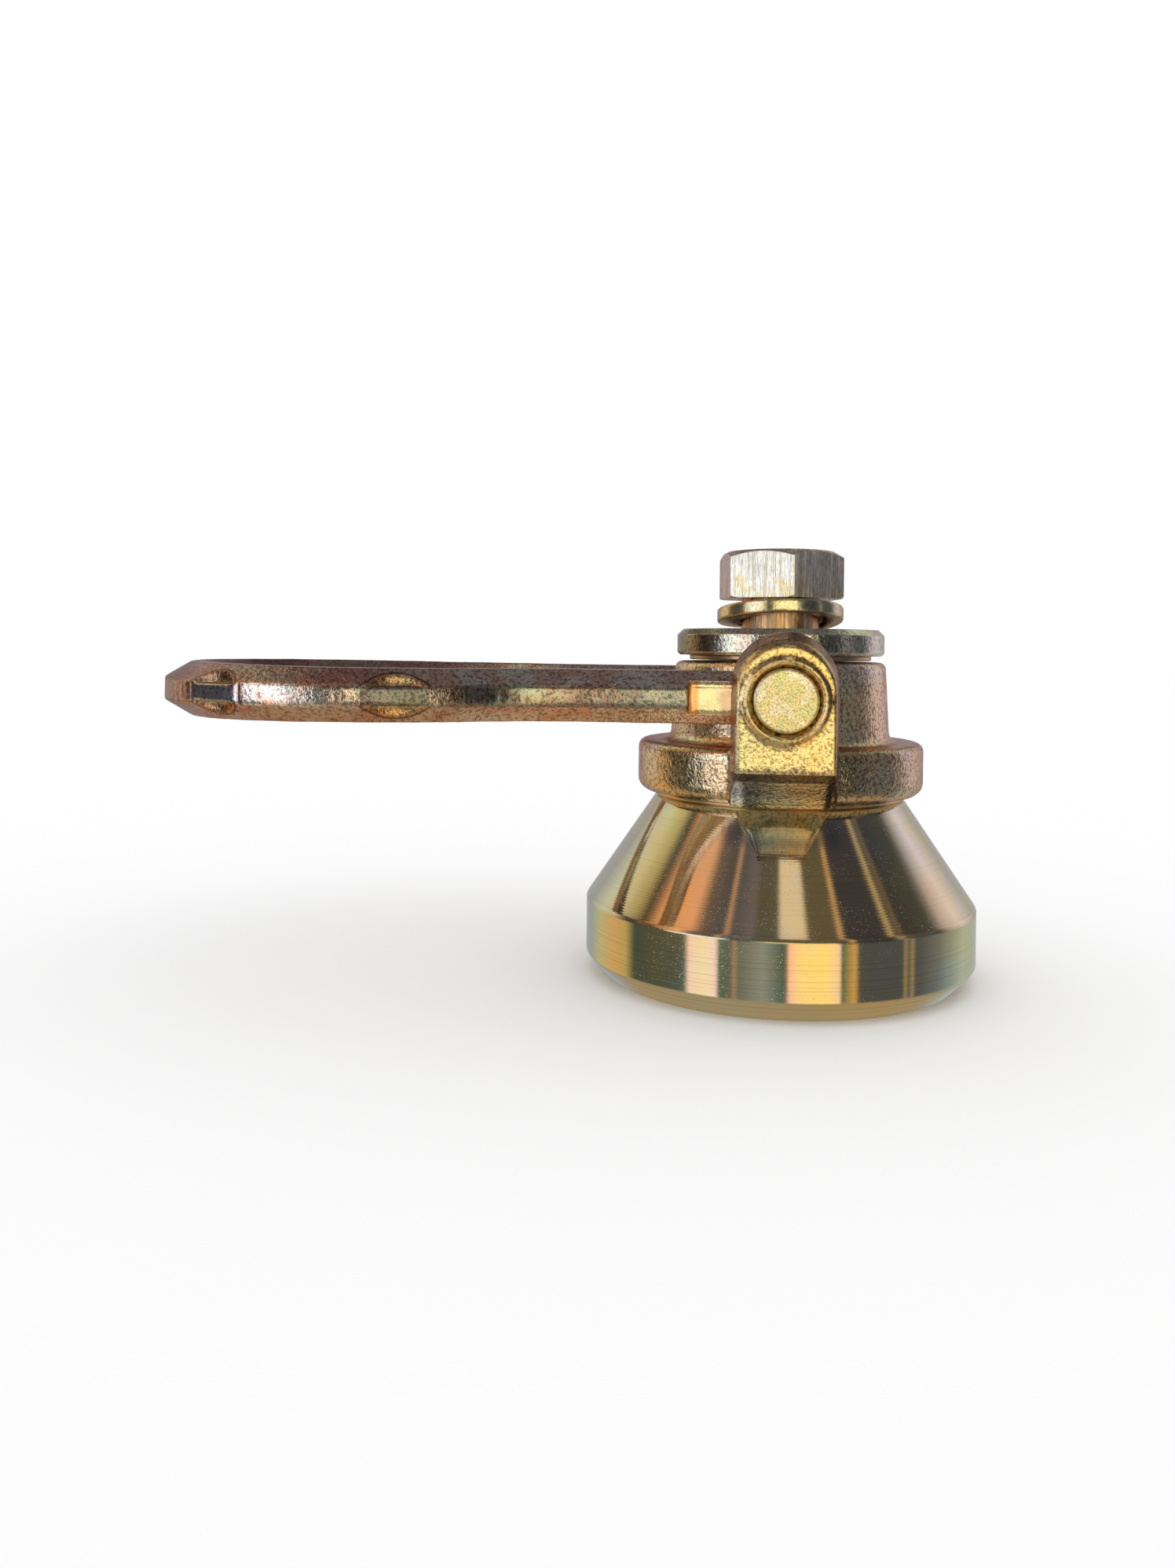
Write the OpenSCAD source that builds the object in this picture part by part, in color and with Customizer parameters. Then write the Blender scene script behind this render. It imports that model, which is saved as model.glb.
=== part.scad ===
// Swivel lifting ring, bolted to a conical weld-on base.
// Origin: centre of the base's flat underside. +Z is the swivel axis; the ring rests towards -X.

/* [Conical base] */
// Diameter of the cylindrical band
base_d = 100; // [90:1:110]
// Height of the chamfer round the underside
base_chamfer_h = 4.9; // [4:0.1:6]
// Height of the band's upper edge
band_top_z = 19.1; // [17:0.1:21]
// Diameter of the flat top of the cone
cone_top_d = 63.4; // [61:0.1:66]
// Height of the cone
base_h = 46; // [45:0.5:48]

/* [Swivel body] */
// Diameter of the flange
flange_d = 73.6; // [73:0.2:75]
// Thickness of the flange
flange_t = 13.2; // [12:0.2:13.4]
// Diameter of the hub at the flange
hub_root_d = 56.4; // [56:0.2:58]
// Diameter of the hub at its top
hub_top_d = 54.6; // [54:0.2:56]
// Height of the swivel body
body_h = 33.7; // [33:0.1:35]
// Distance of a lug's inner face from the swivel axis
lug_inner = 43; // [43:0.1:44]
// Distance of a lug's outer face from the swivel axis
lug_outer = 52; // [51:0.1:54]
// Half width of a lug at its outer face
lug_half_w = 11; // [10.6:0.1:12]

/* [Load ring] */
// Height of the pivot axis above the base's underside
pivot_z = 72.5; // [72.4:0.1:72.8]
// Reach of the ring from the swivel axis to its outer end
ring_reach = 163.6; // [152:0.1:175]
// Radial width of the ring's section
ring_w = 15; // [14:0.2:15.6]
// How much wider the section is at the crown of the bow
crown_extra_w = 1.5; // [0:0.1:3]
// Height of the ring's section
ring_h = 12.6; // [12.2:0.2:13.2]
// How much higher the section is at the crown of the bow
crown_extra_h = 1.6; // [0:0.1:2]
// Height of the flat band round the section's sides
ring_band_h = 4.2; // [3.6:0.2:5]
// Radius of the bow's centreline
bow_r = 53; // [50:0.5:56]
// Radius of the centreline where the bow narrows to the legs
neck_r = 50; // [45:0.5:55]
// Distance of a leg's centreline from the swivel axis
leg_y = 36.3; // [36.1:0.1:36.5]
// Outer radius of an eye
eye_r = 11.5; // [11:0.1:11.6]

/* [Pins and washers] */
// Diameter of a pivot pin
pin_d = 14.6; // [14:0.1:14.8]
// Outer diameter of the top washer
top_washer_d = 53.6; // [52:0.2:54]
// Thickness of the top washer
top_washer_t = 6.7; // [5:0.1:7]
// Outer diameter of the bush's collar
collar_d = 47; // [44:0.2:50]

/* [Hidden] */
$fn = 96;

// Metric M20 hardware
bolt_d = 20;
bolt_length = 70;
thread_length = 46;
thread_pitch = 2.5;
thread_depth = 1.5;
head_af = 29.4;
head_h = 12.3;
head_turn = -20;
spring_id = 21.2;
spring_od = 32.8;
spring_t = 3.6;
spring_rise = 2.6;
spring_lift = 0.9;
spring_tilt = 2.4;
spring_high = -68;
spring_free_h = 7.85;
spring_split = 45;

press_gap = 0;
running_gap = 0.07;
axial_gap = 0.3;
contact_gap = 0.05;
thread_gap = 0.06;

thrust_t = 1;
body_z = base_h + thrust_t + contact_gap;
flange_top = body_z + flange_t;
body_top = body_z + body_h;
collar_t = 1.2;
collar_z = body_top + axial_gap;
washer_z = collar_z + collar_t;
washer_top = washer_z + top_washer_t;
spring_z = washer_top + contact_gap;
head_z = spring_z + spring_free_h + contact_gap;
sleeve_r = 15;
bolt_hole_r = bolt_d / 2 + 0.5;

hole_bottom = 22;
drill_r = 8.75;

eye_inner = 30.1;
eye_outer = lug_inner - 0.8;
eye_bore_r = pin_d / 2 + running_gap;
spot_face_y = 27.2;
spot_face_r = eye_r + 0.6;
pin_root_y = 21;
pin_proud = 0.15;
stake_r = 8.8;
stake_bead = 0.75;

// A lug is wider and its arched head stands higher at the inner face than at the outer one
arch_z = pivot_z + 1.5;
lug_draft = 1.3;
arch_rise = 1.4;
lug_foot_z = 56.3;
lug_foot_in = 15.5;
lug_root_y = 25;

// Raised pad on a lug's sloping underside
foot_pad_w = 20;
foot_pad_length = 14.5;
foot_pad_proud = 0.45;

// Bow and neck arcs meet at this angle, measured from the ring's widest place
neck_angle = acos((leg_y + neck_r) / (bow_r + neck_r));
bow_x = (ring_w + crown_extra_w) / 2 + bow_r - ring_reach;
neck_x = bow_x + (bow_r + neck_r) * sin(neck_angle);
neck_y = (bow_r + neck_r) * cos(neck_angle);
section_bevel = 4.8;
crown_extra_band = 1.8;
crown_extra_bevel = 2;

// Scalloped marks on the bow: angles from the outer end, cutter radius and bite
mark_angles = [-105, -60, 60, 105];
mark_r = 12;
mark_bite = 3;

gold = "#c9a94e";
pale_gold = "#d8cf9a";
dark_gold = "#7d6440";
steel_yellow = "#b9b48c";

// Points along a circular arc, for the round corners of a turned profile
function arc(x, z, r, from, to, steps = 5) =
    [for (i = [0 : steps]) let (a = from + (to - from) * i / steps) [x + r * cos(a), z + r * sin(a)]];

// A disc or ring with its four edges chamfered: inner and outer radius, thickness, outer chamfers
module turned_ring(r_in, r_out, t, low, high) {
    rotate_extrude()
        polygon([
            [r_in, 0], [r_out - low, 0], [r_out, low],
            [r_out, t - high], [r_out - high, t], [r_in, t]
        ]);
}

// Places a shape made along +Z so that it points along -Y (front) or +Y (rear) at the pivot
module at_pivot(side) {
    translate([0, 0, pivot_z])
        rotate([side == "front" ? 90 : -90, 0, 0])
            children();
}

// Base: turned cone with a band and a blind tapped hole

module conical_base() {
    r = base_d / 2;
    edge = 0.4;
    drill_extra = 4;
    point_h = 4;
    mouth = 1.6;
    overlap = 0.1;
    color(gold)
        difference() {
            rotate_extrude($fn = 160)
                polygon([
                    [0, 0], [r - base_chamfer_h, 0], [r - edge, base_chamfer_h - edge],
                    [r, base_chamfer_h + edge], [r, band_top_z - edge], [r - edge, band_top_z + edge],
                    [cone_top_d / 2 + edge, base_h - edge * 1.5], [cone_top_d / 2 - edge, base_h], [0, base_h]
                ]);
            translate([0, 0, hole_bottom])
                cylinder(h = base_h, r = bolt_d / 2 + thread_gap);
            translate([0, 0, hole_bottom - drill_extra])
                cylinder(h = drill_extra + 1, r = drill_r);
            translate([0, 0, hole_bottom - drill_extra - point_h])
                cylinder(h = point_h, r1 = 0, r2 = drill_r);
            translate([0, 0, base_h - mouth + overlap])
                cylinder(h = mouth, r1 = bolt_d / 2, r2 = bolt_d / 2 + mouth);
        }
}

module thrust_washer() {
    inner_gap = 0.3;
    overhang = 0.6;
    chamfer = 0.3;
    color(pale_gold)
        translate([0, 0, base_h])
            turned_ring(sleeve_r + inner_gap, cone_top_d / 2 + overhang, thrust_t, chamfer, chamfer);
}

// Bush: sleeve clamped between base and top washer, and a collar that holds the body down

module flanged_bush() {
    chamfer = 0.2;
    color(dark_gold)
        difference() {
            union() {
                translate([0, 0, base_h])
                    cylinder(h = washer_z - base_h, r = sleeve_r);
                translate([0, 0, collar_z])
                    turned_ring(bolt_hole_r, collar_d / 2, collar_t, chamfer, chamfer);
            }
            translate([0, 0, base_h - 1])
                cylinder(h = washer_z, r = bolt_hole_r);
        }
}

// Swivel body: flange, hub and two lugs, forged in one piece

module flange_and_hub() {
    rf = flange_d / 2;
    rh = hub_root_d / 2;
    rt = hub_top_d / 2;
    low = 3;
    top = 2;
    root = 2.4;
    crown = 1.8;
    bore_r = sleeve_r + running_gap;
    mouth = 1;
    rotate_extrude($fn = 160)
        polygon(concat(
            [[bore_r, body_z]],
            arc(rf - low, body_z + low, low, -90, 0),
            arc(rf - top, flange_top - top, top, 0, 90),
            arc(rh + root, flange_top + root, root, 270, 180),
            arc(rt - crown, body_top - crown, crown, 0, 90),
            [[bore_r + mouth, body_top], [bore_r, body_top - mouth]]
        ));
}

// Outline of a lug seen along Y: post with drafted sides under a round arch that leans inwards
module lug_block() {
    depth = lug_outer - lug_inner;
    spare = 2;
    r_slope = lug_draft / depth;
    z_slope = arch_rise / depth;
    wide = lug_half_w + lug_draft;
    translate([0, spare - lug_inner, arch_z + arch_rise + spare * z_slope])
        rotate([90 + atan(z_slope), 0, 0])
            cylinder(h = depth + 2 * spare, r1 = wide + spare * r_slope, r2 = lug_half_w - spare * r_slope);
    translate([0, 0, body_z - spare])
        linear_extrude(arch_z - body_z + spare)
            polygon([
                [-lug_half_w, -lug_outer], [lug_half_w, -lug_outer], [wide, -lug_inner],
                [wide, -lug_root_y], [-wide, -lug_root_y], [-wide, -lug_inner]
            ]);
}

// Side view of a lug: upright plate, foot running back under the ring's leg into the flange
module lug_side_view() {
    corner = 1.5;
    above = 100;
    rotate([90, 0, 90])
        linear_extrude(flange_d, center = true)
            polygon(concat(
                [[-lug_root_y, body_z], [lug_foot_in - lug_outer, body_z], [-lug_outer, lug_foot_z]],
                [[-lug_outer, above], [-lug_inner, above]],
                arc(corner - lug_inner, flange_top + corner, corner, 180, 270),
                [[-lug_root_y, flange_top]]
            ));
}

// Raised pad on the sloping underside of a lug
module lug_pad() {
    rise = atan((lug_foot_z - body_z) / lug_foot_in);
    thick = 4;
    translate([0, lug_foot_in - lug_outer, body_z])
        rotate([-rise, 0, 0])
            translate([-foot_pad_w / 2, -foot_pad_length, -foot_pad_proud])
                cube([foot_pad_w, foot_pad_length, thick]);
}

module lug() {
    intersection() {
        lug_block();
        lug_side_view();
    }
    lug_pad();
    at_pivot("front")
        translate([0, 0, lug_outer])
            rotate_extrude()
                translate([stake_r, 0])
                    circle(stake_bead, $fn = 24);
}

module swivel_body() {
    beyond = 2;
    recess = 0.9;
    wall = 0.05;
    color(gold)
        difference() {
            union() {
                flange_and_hub();
                lug();
                mirror([0, 1, 0])
                    lug();
            }
            for (side = ["front", "rear"])
                at_pivot(side) {
                    translate([0, 0, pin_root_y])
                        cylinder(h = lug_outer - pin_root_y + beyond, r = pin_d / 2 + press_gap);
                    translate([0, 0, spot_face_y])
                        cylinder(h = lug_inner - spot_face_y, r = spot_face_r);
                    translate([0, 0, lug_outer - recess])
                        cylinder(h = recess + beyond, r = stake_r - stake_bead - wall);
                }
        }
}

// Pivot pins: pressed into hub and lug, with a turned outer end

module pivot_pin(side) {
    r = pin_d / 2;
    length = lug_outer + pin_proud - pin_root_y;
    root_chamfer = 0.6;
    corner = 0.7;
    color(pale_gold)
        at_pivot(side)
            translate([0, 0, pin_root_y])
                rotate_extrude()
                    polygon(concat(
                        [[0, 0], [r - root_chamfer, 0], [r, root_chamfer]],
                        arc(r - corner, length - corner, corner, 0, 90),
                        [[0, length]]
                    ));
}

// Friction springs: dished discs that press on the eyes, so the ring stays where it is put

module friction_spring(side) {
    inner = pin_d / 2 + 0.3;
    outer = spot_face_r - 0.8;
    gap = eye_inner - spot_face_y;
    t = 0.9;
    color(dark_gold)
        at_pivot(side)
            translate([0, 0, spot_face_y])
                rotate_extrude()
                    polygon([
                        [inner, contact_gap], [inner, contact_gap + t],
                        [outer, gap - contact_gap], [outer, gap - contact_gap - t]
                    ]);
}

// Load ring: eight-sided section along bow, necks and legs, ending in two eyes

// Corners of the ring's section: distance outwards from the centreline, and height.
// The share g of the crown's extra size is 0 on the legs and 1 at the crown.
function ring_section(g) =
    let (
        w = (ring_w + crown_extra_w * g) / 2,
        h = (ring_h + crown_extra_h * g) / 2,
        b = (ring_band_h + crown_extra_band * g) / 2,
        flat = w - section_bevel - crown_extra_bevel * g
    )
    [[w, -b], [w, b], [flat, h], [-flat, h], [-w, b], [-w, -b], [-flat, -h], [flat, -h]];

// Station on an arc of the centreline: x, y, the direction that points out of the ring, and share g
function station(x, y, r, a, flip, g = 0) = [x + r * cos(a), y + r * sin(a), a + flip, g];

module ring_bar() {
    corners = 8;
    neck_steps = 12;
    bow_steps = 84;
    bow_start = 90 - neck_angle;
    bow_sweep = 180 + 2 * neck_angle;
    stations = concat(
        [[0, leg_y, 90, 0]],
        [for (i = [0 : neck_steps]) station(neck_x, neck_y, neck_r, 270 - neck_angle * i / neck_steps, 180)],
        [
            for (i = [1 : bow_steps - 1]) let (a = bow_start + bow_sweep * i / bow_steps)
                station(bow_x, 0, bow_r, a, 0, max(0, -cos(a)))
        ],
        [
            for (i = [neck_steps : -1 : 0])
                station(neck_x, -neck_y, neck_r, 90 + neck_angle * i / neck_steps, 180)
        ],
        [[0, -leg_y, 270, 0]]
    );
    last = len(stations) - 1;
    points = [
        for (s = stations) for (p = ring_section(s[3]))
            [s[0] + p[0] * cos(s[2]), s[1] + p[0] * sin(s[2]), p[1]]
    ];
    sides = [
        for (i = [0 : last - 1]) for (j = [0 : corners - 1])
            let (k = (j + 1) % corners)
            [i * corners + j, i * corners + k, (i + 1) * corners + k, (i + 1) * corners + j]
    ];
    first_cap = [for (j = [corners - 1 : -1 : 0]) j];
    last_cap = [for (j = [0 : corners - 1]) last * corners + j];
    polyhedron(points, concat(sides, [first_cap], [last_cap]), convexity = 6);
}

module ring_eye() {
    translate([0, eye_inner, 0])
        rotate([-90, 0, 0])
            cylinder(h = eye_outer - eye_inner, r = eye_r);
}

module ring_marks() {
    cut = bow_r + ring_w / 2 + mark_r - mark_bite;
    tall = 10;
    for (a = mark_angles)
        for (z = [ring_band_h / 2, -ring_band_h / 2 - tall])
            translate([bow_x - cut * cos(a), cut * sin(a), z])
                cylinder(h = tall, r = mark_r);
}

module load_ring() {
    side_relief_r = 34;
    pad_r = 22;
    beyond = 5;
    color(dark_gold)
        translate([0, 0, pivot_z])
            difference() {
                union() {
                    ring_bar();
                    ring_eye();
                    mirror([0, 1, 0])
                        ring_eye();
                }
                rotate([90, 0, 0])
                    cylinder(h = 2 * (eye_outer + beyond), r = eye_bore_r, center = true);
                rotate([90, 0, 0])
                    cylinder(h = 2 * eye_inner, r = side_relief_r, center = true);
                for (s = [-90, 90])
                    rotate([s, 0, 0])
                        translate([0, 0, eye_outer])
                            cylinder(h = beyond, r = pad_r);
                ring_marks();
            }
}

// Washers and bolt

module top_washer() {
    low_chamfer = 0.7;
    high_chamfer = 1.5;
    color(steel_yellow)
        translate([0, 0, washer_z])
            turned_ring(bolt_hole_r, top_washer_d / 2, top_washer_t, low_chamfer, high_chamfer);
}

// Height of the split washer's underside at a direction a, where s runs from the high end to the low end.
// The washer is left-handed and lies tilted, high at the front.
function spring_height(a, s) = spring_rise * (1 - s) + spring_lift + spring_tilt * cos(a - spring_high);

// One cross-section of the split washer, with its corners broken
function spring_ring_points(s) =
    let (
        half_gap = 3,
        a = spring_split + half_gap + (360 - 2 * half_gap) * s,
        z = spring_z + spring_height(a, s),
        c = 0.35,
        ri = spring_id / 2,
        ro = spring_od / 2,
        section = [
            [ri + c, 0], [ro - c, 0], [ro, c], [ro, spring_t - c],
            [ro - c, spring_t], [ri + c, spring_t], [ri, spring_t - c], [ri, c]
        ]
    )
    [for (p = section) [p[0] * cos(a), p[0] * sin(a), z + p[1]]];

module spring_washer() {
    steps = 120;
    corners = 8;
    points = [for (i = [0 : steps]) each spring_ring_points(i / steps)];
    sides = [
        for (i = [0 : steps - 1]) for (j = [0 : corners - 1])
            let (k = (j + 1) % corners)
            [i * corners + j, i * corners + k, (i + 1) * corners + k, (i + 1) * corners + j]
    ];
    first = [for (j = [corners - 1 : -1 : 0]) j];
    last = [for (j = [0 : corners - 1]) steps * corners + j];
    color(pale_gold)
        polyhedron(points, concat(sides, [first], [last]), convexity = 4);
}

module bolt_head() {
    corner_r = head_af / sqrt(3);
    flat_r = head_af / 2 * 0.94;
    foot_chamfer = 0.9;
    clear = 1;
    drop = (corner_r + clear - flat_r) * tan(30);
    intersection() {
        cylinder(h = head_h, r = corner_r, $fn = 6);
        rotate_extrude()
            polygon([
                [0, 0], [corner_r - foot_chamfer, 0], [corner_r + clear, clear],
                [corner_r + clear, head_h - drop], [flat_r, head_h], [0, head_h]
            ]);
    }
}

// Plain shank above, ring-grooved thread form below, pointed end
module bolt_shank() {
    r = bolt_d / 2;
    root = r - thread_depth;
    turns = floor(thread_length / thread_pitch) - 1;
    point_h = 2;
    point_in = 0.5;
    crest = 0.06;
    start = point_h - bolt_length;
    runout = start + (turns + 1) * thread_pitch;
    overlap = 0.1;
    rotate_extrude()
        polygon(concat(
            [[0, -bolt_length], [root - point_in, -bolt_length], [root, start]],
            [for (i = [0 : turns]) each [
                [root, start + i * thread_pitch],
                [r, start + (i + 0.5 - crest) * thread_pitch],
                [r, start + (i + 0.5 + crest) * thread_pitch]
            ]],
            [[root, runout], [r, runout + thread_depth], [r, overlap], [0, overlap]]
        ));
}

module hex_bolt() {
    color(pale_gold)
        translate([0, 0, head_z]) {
            rotate([0, 0, head_turn])
                bolt_head();
            bolt_shank();
        }
}

conical_base();
thrust_washer();
flanged_bush();
swivel_body();
pivot_pin("front");  // pivot_pin_front
pivot_pin("rear");  // pivot_pin_rear
friction_spring("front");  // friction_spring_front
friction_spring("rear");  // friction_spring_rear
load_ring();
top_washer();
spring_washer();
hex_bolt();
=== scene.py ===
import bmesh
import bpy
import math
from mathutils import Matrix, Vector, noise


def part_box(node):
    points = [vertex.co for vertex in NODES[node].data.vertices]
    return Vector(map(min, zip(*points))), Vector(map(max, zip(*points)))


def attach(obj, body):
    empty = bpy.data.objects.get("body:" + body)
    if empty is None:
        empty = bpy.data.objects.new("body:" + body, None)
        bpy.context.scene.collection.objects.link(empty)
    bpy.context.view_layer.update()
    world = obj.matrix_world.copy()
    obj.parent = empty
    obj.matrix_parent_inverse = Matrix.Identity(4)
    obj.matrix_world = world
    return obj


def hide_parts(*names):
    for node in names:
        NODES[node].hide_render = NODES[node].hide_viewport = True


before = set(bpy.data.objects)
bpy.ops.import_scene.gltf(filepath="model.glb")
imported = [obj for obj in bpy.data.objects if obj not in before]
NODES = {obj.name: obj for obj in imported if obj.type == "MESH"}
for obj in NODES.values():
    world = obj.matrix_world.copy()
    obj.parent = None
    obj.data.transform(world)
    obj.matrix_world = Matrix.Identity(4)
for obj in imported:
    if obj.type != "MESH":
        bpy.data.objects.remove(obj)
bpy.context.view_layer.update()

MM = 0.001

# The front pin gives the height of the ring's axis, the pins' radius, and the lugs' outer faces,
# which its end stands proud of.
PIN_PROUD = 0.15 * MM
pin_low, pin_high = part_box("pivot_pin_front")
PIVOT_Z = (pin_low.z + pin_high.z) / 2
PIN_R = (pin_high.z - pin_low.z) / 2
LUG_FACE_Y = -pin_low.y - PIN_PROUD

# A lug's outer face is an arch on two straight sides. The lug widens inwards by its slope. Its
# outer edge is rounded, and points up to LUG_STRAY outside the outline still belong to it.
LUG_HALF_W = 11 * MM
LUG_SLOPE = 1.3 / 9
LUG_ARCH_Z = PIVOT_Z + 1.5 * MM
LUG_FOOT_Z = 56.3 * MM
LUG_ROUND = 0.8 * MM
LUG_STRAY = 0.5 * MM

# The heights over which the base's turning lines change from the band's to the cone's
BAND_TO_CONE = (19 * MM, 21 * MM)

# The ring's marks are bitten into the outside of its bow by round cutters (sizes in mm).
BOW_X = -102.35 * MM
BOW_R, RING_HALF_W, CUTTER_R, BITE = 53, 7.5, 12, 3
MARK_R = CUTTER_R * MM
MARK_OFF = (BOW_R + RING_HALF_W + CUTTER_R - BITE) * MM
# Each mark's angle from the ring's tip in degrees, and the painted shade of the band inside it
MARKS = ((60, 0.9), (105, 0.26))

# What stays exact on the forged ring: its eyes' bores, and most of each mark
EYE_INNER_Y = 29.5 * MM
EYE_BORE_R = PIN_R + 0.8 * MM
MARK_KEEP_R = MARK_R + 0.7 * MM
# What stays exact on the forged body: its bores, its underside and the spot faces for the ring
SWIVEL_BORE_R = 16.5 * MM
LUG_BORE_R = PIN_R + 0.9 * MM
UNDERSIDE_Z = 47.4 * MM
SPOT_FACE_Y = (20 * MM, 42.5 * MM)
SPOT_FACE_R = 12.6 * MM

# The staked rim round a pin's outer end: its radius, the radius of its round section, and how
# far the middle of that section is sunk in the lug's face
STAKE_R = 8.55 * MM
STAKE_SECTION_R = 0.62 * MM
STAKE_SINK = 0.15 * MM

# The photograph's camera. It is turned round the object by VIEW_TURN degrees.
# Its place is in metres and its pan, tilt and roll in degrees, all before that turn.
VIEW_TURN = 7.0
CAMERA_PLACE = (-0.0483, -0.3125, 0.0842)
CAMERA_PAN, CAMERA_TILT, CAMERA_ROLL = -0.40, 0.59, -0.57
# The sensor spans the picture's 1996 rows, and its size and the focal length are in mm.
SENSOR = 36
FOCAL_LENGTH = SENSOR * 1511 / 1996
SHIFT_Y = -0.0802


# ---------------------------------------------------------------- camera

def make_camera():
    """The photograph's camera: it stands in front of the object, a little above the ring."""
    turn = Matrix.Rotation(math.radians(VIEW_TURN), 3, "Z")
    place = turn @ Vector(CAMERA_PLACE)
    pan, tilt, roll = (math.radians(a) for a in (CAMERA_PAN, CAMERA_TILT, CAMERA_ROLL))
    level = math.cos(tilt)
    ahead = Vector((math.sin(pan) * level, math.cos(pan) * level, -math.sin(tilt)))
    right = Vector((math.cos(pan), -math.sin(pan), 0))
    down = ahead.cross(right)
    right, down = (
        math.cos(roll) * right + math.sin(roll) * down,
        math.cos(roll) * down - math.sin(roll) * right,
    )
    axes = Matrix((turn @ right, turn @ -down, turn @ -ahead)).transposed()
    data = bpy.data.cameras.new("camera")
    data.sensor_width = SENSOR
    data.lens = FOCAL_LENGTH
    data.shift_y = SHIFT_Y
    data.clip_start = 0.01
    camera = bpy.data.objects.new("camera", data)
    camera.matrix_world = Matrix.Translation(place) @ axes.to_4x4()
    bpy.context.scene.collection.objects.link(camera)
    bpy.context.scene.camera = camera


# ---------------------------------------------------------------- node helpers

class Tree:
    """Short ways to add nodes to a node tree.

    Each input is a number, a colour or the output of another node.
    """

    def __init__(self, tree):
        self.nodes = tree.nodes
        self.links = tree.links

    def set(self, socket, value):
        if isinstance(value, bpy.types.NodeSocket):
            self.links.new(value, socket)
        elif isinstance(value, tuple) and len(value) == 3 and socket.type == "RGBA":
            socket.default_value = (*value, 1)
        else:
            socket.default_value = value

    def math(self, op, a, b=0.0, c=0.0, clamp=False):
        n = self.nodes.new("ShaderNodeMath")
        n.operation = op
        n.use_clamp = clamp
        for socket, value in zip(n.inputs, (a, b, c)):
            self.set(socket, value)
        return n.outputs[0]

    def span(self, value, lo, hi, to_lo=0.0, to_hi=1.0, smooth=True):
        """Runs from to_lo, where value is lo, to to_hi, where it is hi, and stays level beyond."""
        n = self.nodes.new("ShaderNodeMapRange")
        n.interpolation_type = "SMOOTHSTEP" if smooth else "LINEAR"
        names = ("Value", "From Min", "From Max", "To Min", "To Max")
        for name, v in zip(names, (value, lo, hi, to_lo, to_hi)):
            self.set(n.inputs[name], v)
        return n.outputs[0]

    def mix(self, factor, a, b, blend="MIX"):
        n = self.nodes.new("ShaderNodeMix")
        n.data_type = "RGBA"
        n.blend_type = blend
        n.clamp_factor = True
        self.set(n.inputs[0], factor)
        self.set(n.inputs[6], a)
        self.set(n.inputs[7], b)
        return n.outputs[2]

    def ramp(self, value, stops):
        n = self.nodes.new("ShaderNodeValToRGB")
        n.color_ramp.interpolation = "LINEAR"
        elements = n.color_ramp.elements
        while len(elements) > 1:
            elements.remove(elements[-1])
        for i, (place, colour) in enumerate(stops):
            e = elements[0] if i == 0 else elements.new(place)
            e.position = place
            e.color = (*colour, 1)
        self.set(n.inputs[0], value)
        return n.outputs[0]

    def noise(self, vector, scale, detail=3.0, rough=0.55, distort=0.0):
        n = self.nodes.new("ShaderNodeTexNoise")
        self.set(n.inputs["Vector"], vector)
        names = ("Scale", "Detail", "Roughness", "Distortion")
        for name, v in zip(names, (scale, detail, rough, distort)):
            self.set(n.inputs[name], v)
        return n.outputs[0]

    def product(self, a, b):
        return self.math("MULTIPLY", a, b)

    def distance(self, a, b):
        return self.math("SQRT", self.math("ADD", self.product(a, a), self.product(b, b)))

    def tinted(self, colour, shade):
        return self.mix(1.0, colour, shade, "MULTIPLY")

    def xyz(self, vector):
        n = self.nodes.new("ShaderNodeSeparateXYZ")
        self.set(n.inputs[0], vector)
        return n.outputs

    def vector(self, x, y, z):
        n = self.nodes.new("ShaderNodeCombineXYZ")
        for socket, v in zip(n.inputs, (x, y, z)):
            self.set(socket, v)
        return n.outputs[0]

    def shifted(self, vector, offset, scale=(1, 1, 1)):
        n = self.nodes.new("ShaderNodeMapping")
        self.set(n.inputs["Vector"], vector)
        n.inputs["Location"].default_value = offset
        n.inputs["Scale"].default_value = scale
        return n.outputs[0]


# ---------------------------------------------------------------- studio

# What a glossy surface sees downwards, level and upwards. Each entry is a direction, in degrees
# from the camera's side towards the right, and the colour there.
LOW_PANELS = [
    (-180, (0.42, 0.43, 0.47)), (-152, (0.44, 0.46, 0.46)), (-138, (0.64, 0.60, 0.32)),
    (-122, (0.88, 0.48, 0.20)), (-107, (0.72, 0.46, 0.16)), (-99, (0.09, 0.10, 0.075)),
    (-66, (0.12, 0.13, 0.105)), (-61, (0.13, 0.18, 0.14)), (-60, (1.35, 0.88, 0.80)),
    (-51, (1.30, 1.00, 0.62)), (-42.5, (1.40, 0.92, 0.86)), (-41.5, (0.12, 0.18, 0.13)),
    (-34, (0.20, 0.17, 0.12)), (-32, (0.58, 0.32, 0.21)), (-30, (0.22, 0.19, 0.14)),
    (-16, (0.36, 0.36, 0.32)), (-3, (0.06, 0.13, 0.10)), (-2, (1.35, 0.74, 0.72)),
    (5, (1.35, 1.00, 0.42)), (20, (1.35, 1.02, 0.42)), (27, (1.25, 0.88, 0.68)),
    (28, (0.06, 0.16, 0.13)), (36, (0.85, 0.50, 0.15)), (38, (0.095, 0.105, 0.125)),
    (66, (0.090, 0.10, 0.13)), (68, (0.46, 0.36, 0.20)), (70, (0.09, 0.10, 0.13)),
    (73, (0.42, 0.33, 0.22)), (75, (0.09, 0.10, 0.13)), (94, (0.20, 0.22, 0.25)),
    (122, (0.54, 0.60, 0.52)),
]
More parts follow.
